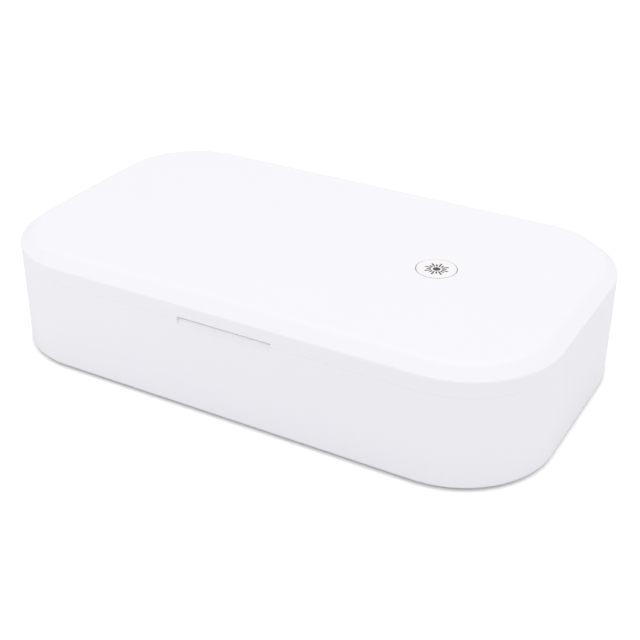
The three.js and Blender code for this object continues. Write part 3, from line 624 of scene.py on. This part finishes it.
makeBaseShell()
print("base shell made")


# Seal and tray frame: the flat rim round the chamber, with the seal's groove and the screw posts
seal = {
    "width": 2 * mm,
    "topRound": 0.5 * mm,
    "inset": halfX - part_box("tray_seal")[1].x,
}
tray = {
    "inset": 15.6 * mm,
    "depth": 22 * mm,
    "wall": 1.5 * mm,
    "lipWidth": 3 * mm,
    "lipThickness": 1.2 * mm,
    "floorRound": 3.0 * mm,
    "ribHeight": 2.5 * mm,
    "ribWidth": 1.4 * mm,
    "ribRoundShare": 0.8,  # of half the width, the rounding of a rib's top
    "ribEndSpace": 8 * mm,
    "ribPlaceShares": (-0.73, -0.36, 0, 0.36, 0.73),
    "windowLedge": 1.5 * mm,
    "windowRound": 2 * mm,
}


def makeSeal():
    low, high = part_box("tray_seal")
    ring = roundedBlock("traySeal", seal["inset"], low.z, high.z)
    roundEdges(ring, bothAt(high.z), seal["topRound"], steps["edge"])
    cutAway(ring, roundedBlock("sealCore", seal["inset"] + seal["width"], low.z - overrun, high.z + overrun))
    soften(ring)
    dress(ring, finishes["clear_silicone"], "base", "tray_seal")


def makeSealGroove():
    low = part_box("tray_seal")[0].z - seatGap
    groove = roundedBlock("groove", seal["inset"] - seatGap, low, baseTop + overrun)
    coreInset = seal["inset"] + seal["width"] + seatGap
    cutAway(groove, roundedBlock("grooveCore", coreInset, low - overrun, baseTop + 2 * overrun))
    return groove


def makeTrayFrame():
    flat = roundedBlock("trayFrame", base["ledgeInset"] + seatGap, baseTop - rim["thickness"], baseTop)
    mouth = roundedBlock("mouth", tray["inset"], baseTop - 2 * overrun, baseTop + overrun)
    cutAway(flat, mouth, makeSealGroove())
    pocketHigh = (pocketHalf, halfY, baseTop + overrun)
    cutAway(flat, block("pocketSpace", (-pocketHalf, pocketFront, pocketFloor), pocketHigh))
    joinHeight = baseTop - rim["thickness"] / 2
    for x, y in cornerPlaces:
        addOn(flat, upright("trayPost", x, y, baseUnder + rim["postRise"], joinHeight,
                            rim["postRadius"], sides["post"]))
        cutAway(flat, upright("trayPilot", x, y, baseUnder, baseUnder + rim["postDepth"],
                              box["shankHole"], sides["hole"]))
    for node in ("catch_plate_left", "catch_plate_right"):
        low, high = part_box(node)
        addOn(flat, upright("catchRing", *middle(node), low.z, joinHeight, rim["ringRadius"], sides["ring"]))
        cutAway(flat, upright("catchSeat", *middle(node), low.z - overrun, high.z + seatGap,
                              rim["ringBore"], sides["ring"]))
    soften(flat)
    dress(flat, finishes["white_shell"], "base", "tray_frame")


def windowCutter(name, window, low, high):
    start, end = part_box(window)
    ledge = tray["windowLedge"]
    cutter = block(name, (start.x + ledge, start.y + ledge, low), (end.x - ledge, end.y - ledge, high))
    roundEdges(cutter, isUpright, tray["windowRound"], steps["rim"])
    return cutter


# Tray: the mirrored chamber, with a rounded floor edge and ribs with rounded tops
def makeTray():
    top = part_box("phone_tray")[1].z
    floor = baseTop - tray["depth"]
    lip = tray["lipThickness"]
    bowl = roundedBlock("phoneTray", tray["inset"] - tray["lipWidth"], top - lip, top)
    addOn(bowl, roundedBlock("bowl", tray["inset"] - tray["wall"], floor - tray["wall"], top - lip / 2))
    chamber = roundedBlock("chamber", tray["inset"], floor, top + overrun)
    roundEdges(chamber, bothAt(floor), tray["floorRound"], steps["rim"])
    cutAway(bowl, chamber, windowCutter("aperture", "uv_window_lower", floor - overrun, floor + overrun))
    ribHalf = halfY - tray["inset"] - tray["ribEndSpace"]
    half = tray["ribWidth"] / 2
    ribTop = floor + tray["ribHeight"]
    pattern = block("ribPattern", (-half, -ribHalf, floor - tray["wall"] / 2), (half, ribHalf, ribTop))
    roundEdges(pattern, bothAt(ribTop), half * tray["ribRoundShare"], steps["small"])
    for share in tray["ribPlaceShares"]:
        addOn(bowl, copyOf(pattern, "rib", (share * (halfX - tray["inset"]), 0, 0)))
    remove(pattern)
    soften(bowl)
    dress(bowl, finishes["mirror_lining"], "base", "phone_tray")


makeSeal()
makeTrayFrame()
makeTray()
print("tray made")


# Lid liner: the mirrored ceiling of the chamber, with screw cups, magnet rings and the lamps' window
liner = {
    "thickness": 1.0 * mm,
    "cupRise": 3.2 * mm,
    "cupRadius": 4.1 * mm,
    "headRise": 1.9 * mm,
    "headRadius": 2.8 * mm,
    "ringRise": 1.5 * mm,
    "ringRadius": 3.8 * mm,
    "ringBore": 2.8 * mm,
}


def makeLidLiner():
    top = linerUnder + liner["thickness"]
    plate = roundedBlock("lidLiner", box["wall"] + seatGap, linerUnder, top)
    side = hinge["blockHalf"] + seatGap
    hingeFront = hingeY - hinge["barrel"] - seatGap
    spaceLow = (-side, hingeFront, linerUnder - overrun)
    cutAway(plate, block("hingeSpace", spaceLow, (side, halfY, top + overrun)))
    cutAway(plate, windowCutter("linerAperture", "uv_window_upper", linerUnder - overrun, top + overrun))
    for x, y in cornerPlaces:
        addOn(plate, upright("linerCup", x, y, linerUnder, linerUnder + liner["cupRise"],
                             liner["cupRadius"], sides["ring"]))
        cutAway(plate, upright("linerHead", x, y, linerUnder - overrun, linerUnder + liner["headRise"],
                               liner["headRadius"], sides["ring"]))
        cutAway(plate, upright("linerShank", x, y, linerUnder, top + overrun,
                               box["shankHole"], sides["hole"]))
    for node in ("lid_magnet_left", "lid_magnet_right"):
        x, y = middle(node)
        addOn(plate, upright("magnetRing", x, y, (linerUnder + top) / 2, top + liner["ringRise"],
                             liner["ringRadius"], sides["ring"]))
        cutAway(plate, upright("magnetSeat", x, y, top, top + 2 * overrun, liner["ringBore"], sides["ring"]))
    soften(plate)
    dress(plate, finishes["mirror_lining"], "lid", "lid_liner")


# Liner screws: pan heads with a cross recess, which face the chamber
panScrew = {
    "headHeight": 1.6 * mm,
    "headRadius": 2.5 * mm,
    "headRound": 0.6 * mm,
    "shankRadius": 1.2 * mm,
    "slotHalf": 0.4 * mm,
    "slotReach": 1.5 * mm,
    "slotDepth": 0.8 * mm,
}


def makeLinerScrews():
    low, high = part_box("lid_screw_front_left")
    headHeight = panScrew["headHeight"]
    pattern = upright("screwPattern", 0, 0, 0, headHeight, panScrew["headRadius"], sides["ring"])
    roundEdges(pattern, bothAt(0), panScrew["headRound"], steps["edge"])
    addOn(pattern, upright("shank", 0, 0, headHeight / 2, high.z - low.z,
                           panScrew["shankRadius"], sides["hole"]))
    half, reach, depth = panScrew["slotHalf"], panScrew["slotReach"], panScrew["slotDepth"]
    cutAway(pattern, block("slot", (-half, -reach, -overrun), (half, reach, depth)))
    cutAway(pattern, block("slot", (-reach, -half, -overrun), (reach, half, depth)))
    soften(pattern)
    for node in nodesNamed("lid_screw_"):
        screw = copyOf(pattern, node + "Pan", (*middle(node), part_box(node)[0].z))
        dress(screw, finishes["steel"], "lid", node)
    remove(pattern)


# Ultraviolet lamps: a ceramic body under a low domed lens
lamp = {
    "half": 1.75 * mm,
    "bodyHeight": 0.8 * mm,
    "bodyRound": 0.15 * mm,
    "lensRadius": 1.4 * mm,
    "lensHeight": 0.5 * mm,
    "lensRound": 0.4 * mm,
}


def makeLamps():
    half, height = lamp["half"], lamp["bodyHeight"]
    body = block("lampPattern", (-half, -half, 0), (half, half, height))
    roundEdges(body, isUpright, lamp["bodyRound"], steps["tiny"])
    top = height + lamp["lensHeight"]
    lens = upright("lampLens", 0, 0, height / 2, top, lamp["lensRadius"], sides["post"])
    roundEdges(lens, bothAt(top), lamp["lensRound"], steps["edge"])
    addOn(body, lens)
    soften(body, 0)
    for node in nodesNamed("uv_lamp_"):
        low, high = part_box(node)
        inLid = "upper" in node
        place = (*middle(node), high.z if inLid else low.z)
        piece = copyOf(body, node + "Domed", place, math.pi if inLid else 0, "X")
        dress(piece, finishes["lamp_ceramic"], "lid" if inLid else "base", node)
    remove(body)


makeLidLiner()
makeLinerScrews()
makeLamps()
print("liner, screws and lamps made")


# Rubber feet with a rounded tread
foot = {
    "radius": 6 * mm,
    "treadRound": 0.6 * mm,
}


def makeFeet():
    low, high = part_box("foot_front_left")
    pattern = upright("footPattern", 0, 0, low.z, high.z, foot["radius"], sides["disc"])
    roundEdges(pattern, bothAt(low.z), foot["treadRound"], steps["rim"])
    soften(pattern)
    for node in nodesNamed("foot_"):
        dress(copyOf(pattern, node + "Round", (*middle(node), 0)), finishes["grey_rubber"], "base", node)
    remove(pattern)


# Power socket: a flattened metal tube with a smooth mouth
port = {
    "round": 1.44 * mm,
    "wall": 0.35 * mm,
}


def makePort():
    low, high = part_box("usb_c_shell")
    wall = port["wall"]
    tube = block("portShell", low, high)
    roundEdges(tube, runsInward, port["round"], steps["broad"])
    mouthHigh = (high.x - wall, high.y + overrun, high.z - wall)
    mouth = block("portMouth", (low.x + wall, low.y + wall, low.z + wall), mouthHigh)
    roundEdges(mouth, runsInward, port["round"] - wall, steps["broad"])
    cutAway(tube, mouth)
    soften(tube, 0)
    dress(tube, finishes["nickel"], "base", "usb_c_shell")


makeFeet()
makePort()
print("feet and power socket made")


# Floor, world, lights and camera
studio = {
    "floorSize": 8,
    "floorTone": 0.87,
    "floorLift": 0.3,
    # how far from the box the painted contact shade reaches, as the ambient-occlusion distance
    "contactReach": 2.0 * mm,
    "roomLight": 0.873,
}
studioLights = {
    "overhead": {"place": (0.1, 0.1, 1.4), "size": 1.2, "power": 3.8},
    "frontFill": {"place": (-0.5, -1.1, 1.0), "size": 0.8, "power": 0.75},
    "leftFill": {"place": (-0.3, -0.35, 0.07), "size": 0.12, "power": 0.065},
    "rightFill": {"place": (1.5, -0.3, 0.5), "size": 0.8, "power": 0.9},
}
view = {
    "sensor": 36,
    "lens": 67.41,
    "turn": 29.105,
    "rise": 29.517,
    "roll": 0.335,
    "place": (205.54 * mm, -362.77 * mm, 247.37 * mm),
}


def seenDirectly(tree):
    path = tree.nodes.new("ShaderNodeLightPath")
    return mathNode(tree, "MAXIMUM", path.outputs["Is Camera Ray"], path.outputs["Is Transmission Ray"])


# The floor is matt and takes real shadows
# Seen directly it glows up to paper white, but an ambient-occlusion mask withholds the glow near the box, so
# the contact line is real shadow deepened by painted shade
def makeFloor():
    deselectAll()
    bpy.ops.mesh.primitive_plane_add(size=studio["floorSize"], location=(0, 0, 0))
    floor = named("floor")
    material = bpy.data.materials.new("paleFloor")
    material.use_nodes = True
    nodes, links = material.node_tree.nodes, material.node_tree.links
    nodes.remove(nodes["Principled BSDF"])
    matt = nodes.new("ShaderNodeBsdfDiffuse")
    matt.inputs["Color"].default_value = (*[studio["floorTone"]] * 3, 1)
    # Ambient occlusion masks the floor's glow: painted shade along the contact line under the box
    occlusionShade = nodes.new("ShaderNodeAmbientOcclusion")
    occlusionShade.inputs["Distance"].default_value = studio["contactReach"]
    tree = material.node_tree
    lifted = mathNode(tree, "MULTIPLY", seenDirectly(tree), occlusionShade.outputs["AO"])
    lift = nodes.new("ShaderNodeEmission")
    links.new(mathNode(tree, "MULTIPLY", lifted, studio["floorLift"]), lift.inputs["Strength"])
    both = nodes.new("ShaderNodeAddShader")
    links.new(matt.outputs[0], both.inputs[0])
    links.new(lift.outputs[0], both.inputs[1])
    links.new(both.outputs[0], nodes["Material Output"].inputs["Surface"])
    floor.data.materials.append(material)


# An even white room, a little dimmer as a light than as a background
def makeWorld():
    world = bpy.data.worlds.new("studio")
    world.use_nodes = True
    bpy.context.scene.world = world
    nodes, links = world.node_tree.nodes, world.node_tree.links
    soft = nodes["Background"]
    soft.inputs["Color"].default_value = (1, 1, 1, 1)
    strength = nodes.new("ShaderNodeMapRange")
    strength.inputs["To Min"].default_value = studio["roomLight"]
    strength.inputs["To Max"].default_value = 1
    links.new(seenDirectly(world.node_tree), strength.inputs["Value"])
    links.new(strength.outputs["Result"], soft.inputs["Strength"])


def makeLight(name):
    wish = studioLights[name]
    data = bpy.data.lights.new(name, "AREA")
    data.shape = "DISK"
    data.size = wish["size"]
    data.energy = wish["power"]
    light = bpy.data.objects.new(name, data)
    bpy.context.scene.collection.objects.link(light)
    light.location = wish["place"]
    light.visible_camera = False
    light.rotation_euler = (-Vector(wish["place"])).to_track_quat("-Z", "Y").to_euler()


def makeCamera():
    data = bpy.data.cameras.new("camera")
    data.sensor_width = view["sensor"]
    data.lens = view["lens"]
    camera = bpy.data.objects.new("camera", data)
    bpy.context.scene.collection.objects.link(camera)
    turn = Matrix.Rotation(math.radians(view["turn"]), 4, "Z")
    tilt = Matrix.Rotation(math.radians(90 - view["rise"]), 4, "X")
    roll = Matrix.Rotation(math.radians(view["roll"]), 4, "Z")
    camera.rotation_euler = (turn @ tilt @ roll).to_euler()
    camera.location = view["place"]
    bpy.context.scene.camera = camera


makeFloor()
makeWorld()
for name in studioLights:
    makeLight(name)
makeCamera()
bpy.context.scene.view_settings.view_transform = "Standard"
print("studio made")
